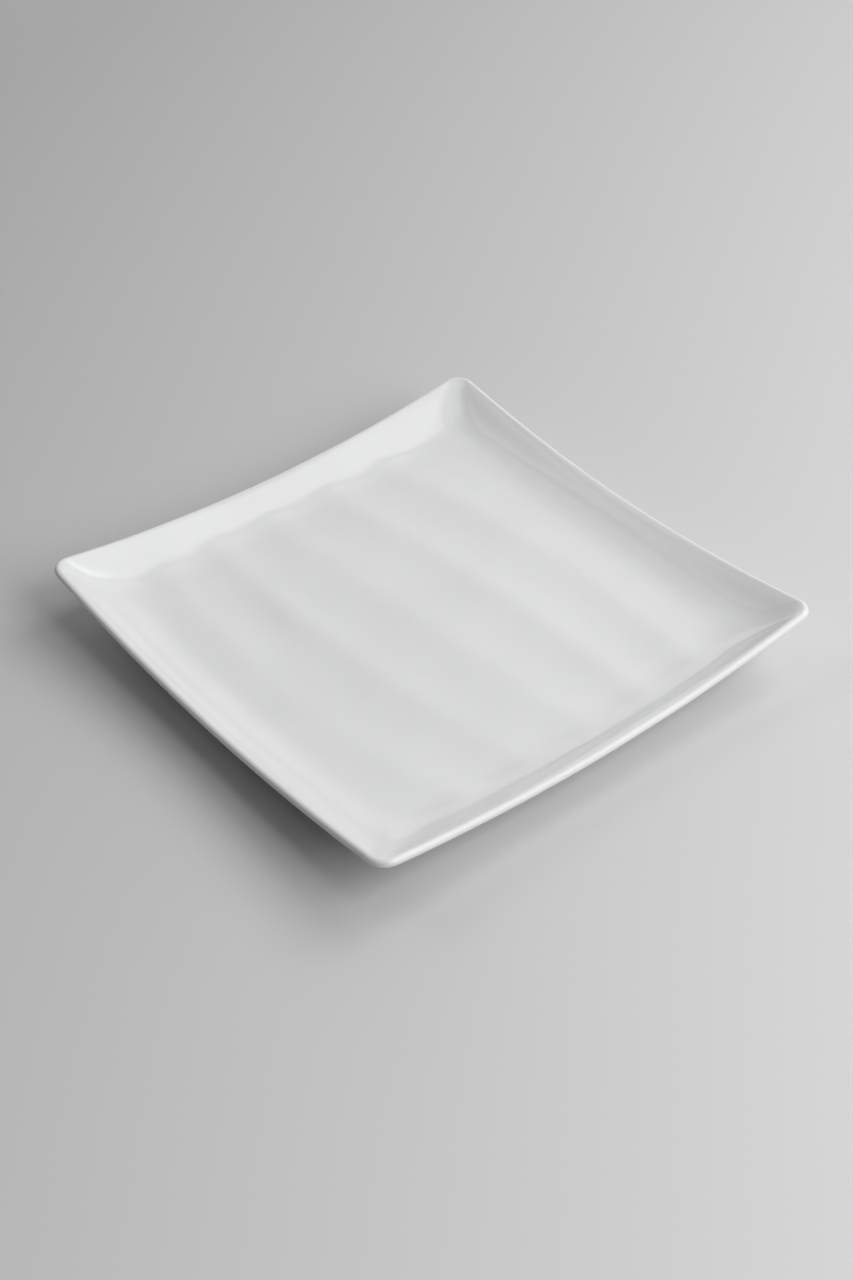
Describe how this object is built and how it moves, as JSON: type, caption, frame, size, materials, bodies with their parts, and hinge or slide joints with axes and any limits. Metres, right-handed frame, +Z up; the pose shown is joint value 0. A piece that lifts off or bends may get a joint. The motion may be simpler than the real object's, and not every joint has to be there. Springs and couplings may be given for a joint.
{
  "type": "square dinner plate",
  "caption": "Square dinner plate with upswept corners, dipping edges, a softly rippled flat well and a square foot ring, in white glazed porcelain.",
  "frame": {"origin": "on the table under the middle of the plate: the middle of the square, at the height of the foot ring's bearing face", "axes": "+Z up, out of the well; X and Y run along the plate's straight sides, and the well's ripples run along Y"},
  "size_m": [0.266, 0.266, 0.0346],
  "materials": {
    "glaze": "glossy white glaze",
    "fired_clay": "bare fired porcelain, matt",
    "foot_clay": "bare fired porcelain, polished smooth on its bearing face"
  },
  "bodies": {
    "root": {"plate_body": "fired_clay", "foot_ring": "foot_clay", "glaze_coat": "glaze", "glaze_panel": "glaze"}
  },
  "joints": []
}
